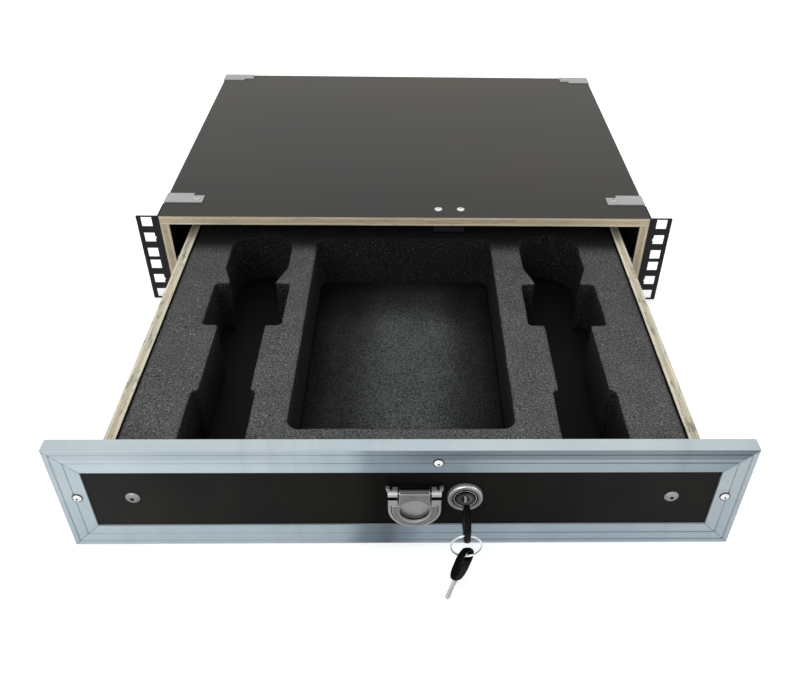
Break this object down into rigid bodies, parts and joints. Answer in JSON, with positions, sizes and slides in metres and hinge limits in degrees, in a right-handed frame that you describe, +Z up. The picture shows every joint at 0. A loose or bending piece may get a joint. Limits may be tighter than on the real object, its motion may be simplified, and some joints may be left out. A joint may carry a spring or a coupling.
{
  "type": "sliding rack drawer",
  "caption": "Rack-mount plywood drawer unit with an aluminium-framed front, cam lock, ring-pull handle, ball-bearing slides and a foam insert cut for microphones.",
  "frame": {"origin": "centre of the case's underside", "axes": "+Z up, -Y out of the drawer's front, +X to the right as seen from the front"},
  "size_m": [0.4826, 0.6922, 0.0906],
  "materials": {
    "dark_ply": "dark film-faced plywood with raw edges",
    "zinc": "zinc plated",
    "ear_black": "black powder coat",
    "aluminium": "brushed extrusion",
    "nickel": "nickel plated",
    "steel": "bright steel",
    "ball_steel": "polished",
    "foam": "closed-cell foam",
    "key_plastic": "moulded"
  },
  "bodies": {
    "case": {"case_top_panel": "dark_ply", "case_bottom_panel": "dark_ply", "case_back_panel": "dark_ply", "case_left_side": "dark_ply", "case_right_side": "dark_ply", "corner_brackets": "zinc", "bracket_rivets": "aluminium", "rack_ear_left": "ear_black", "rack_ear_right": "ear_black", "ear_screws": "ear_black", "lock_keeper": "zinc", "keeper_rivets": "aluminium", "slide_outer_left": "steel", "slide_outer_right": "steel", "slide_case_screws": "steel"},
    "drawer": {"drawer_left_side": "dark_ply", "drawer_right_side": "dark_ply", "drawer_front_board": "dark_ply", "drawer_back": "dark_ply", "drawer_floor": "dark_ply", "slide_inner_left": "steel", "slide_inner_right": "steel", "slide_drawer_screws": "steel", "front_panel": "dark_ply", "panel_bolts": "ear_black", "panel_inserts": "steel", "frame_top_rail": "aluminium", "frame_bottom_rail": "aluminium", "frame_left_rail": "aluminium", "frame_right_rail": "aluminium", "frame_rivets": "aluminium", "foam_insert": "foam", "pocket_pad": "foam", "lock_body": "nickel", "lock_nut": "nickel", "handle_base": "nickel", "handle_pin": "nickel", "handle_screws": "nickel"},
    "slide_middle_left": {"slide_middle_left": "steel"},
    "outer_cage_left": {"outer_cage_left": "steel", "outer_balls_left": "ball_steel"},
    "inner_cage_left": {"inner_cage_left": "steel", "inner_balls_left": "ball_steel"},
    "slide_middle_right": {"slide_middle_right": "steel"},
    "outer_cage_right": {"outer_cage_right": "steel", "outer_balls_right": "ball_steel"},
    "inner_cage_right": {"inner_cage_right": "steel", "inner_balls_right": "ball_steel"},
    "handle_flap": {"handle_flap": "nickel"},
    "lock_plug": {"lock_plug": "nickel", "lock_cam": "nickel", "cam_nut": "nickel"},
    "key": {"key_bow": "key_plastic", "key_blade": "nickel"},
    "key_ring": {"key_ring": "nickel"},
    "spare_key": {"spare_key_bow": "key_plastic", "spare_key_blade": "nickel"}
  },
  "joints": [
    {"name": "drawer_slide", "type": "slide", "parent": "case", "child": "drawer", "axis": [0, -1, 0], "range_m": [-0.2835, 0]},
    {"name": "slide_middle_left_slide", "type": "slide", "parent": "case", "child": "slide_middle_left", "axis": [0, -1, 0], "range_m": [-0.14175, 0]},
    {"name": "outer_cage_left_slide", "type": "slide", "parent": "case", "child": "outer_cage_left", "axis": [0, -1, 0], "range_m": [-0.07087, 0]},
    {"name": "inner_cage_left_slide", "type": "slide", "parent": "case", "child": "inner_cage_left", "axis": [0, -1, 0], "range_m": [-0.21262, 0]},
    {"name": "slide_middle_right_slide", "type": "slide", "parent": "case", "child": "slide_middle_right", "axis": [0, -1, 0], "range_m": [-0.14175, 0]},
    {"name": "outer_cage_right_slide", "type": "slide", "parent": "case", "child": "outer_cage_right", "axis": [0, -1, 0], "range_m": [-0.07087, 0]},
    {"name": "inner_cage_right_slide", "type": "slide", "parent": "case", "child": "inner_cage_right", "axis": [0, -1, 0], "range_m": [-0.21262, 0]},
    {"name": "handle_lift", "type": "hinge", "parent": "drawer", "child": "handle_flap", "pos_m": [0.0068, -0.4732, 0.0546], "axis": [-1, 0, 0], "range_deg": [0, 95]},
    {"name": "lock_turn", "type": "hinge", "parent": "drawer", "child": "lock_plug", "pos_m": [0.0396, -0.472, 0.0475], "axis": [0, -1, 0], "range_deg": [0, 90]},
    {"name": "key_pull", "type": "slide", "parent": "lock_plug", "child": "key", "axis": [0, -1, 0], "range_m": [0, 0.007]},
    {"name": "ring_swing", "type": "hinge", "parent": "key", "child": "key_ring", "pos_m": [0.0396, -0.4982, 0.0427], "axis": [-1, 0, 0], "range_deg": [-20, 70]},
    {"name": "spare_swing", "type": "hinge", "parent": "key_ring", "child": "spare_key", "pos_m": [0.0396, -0.4982, 0.0231], "axis": [-1, 0, 0], "range_deg": [-45, 20]}
  ],
  "couplings": [
    {"joint": "slide_middle_left_slide", "follows": "drawer_slide", "ratio": 0.5},
    {"joint": "outer_cage_left_slide", "follows": "drawer_slide", "ratio": 0.25},
    {"joint": "inner_cage_left_slide", "follows": "drawer_slide", "ratio": 0.75},
    {"joint": "slide_middle_right_slide", "follows": "drawer_slide", "ratio": 0.5},
    {"joint": "outer_cage_right_slide", "follows": "drawer_slide", "ratio": 0.25},
    {"joint": "inner_cage_right_slide", "follows": "drawer_slide", "ratio": 0.75}
  ]
}
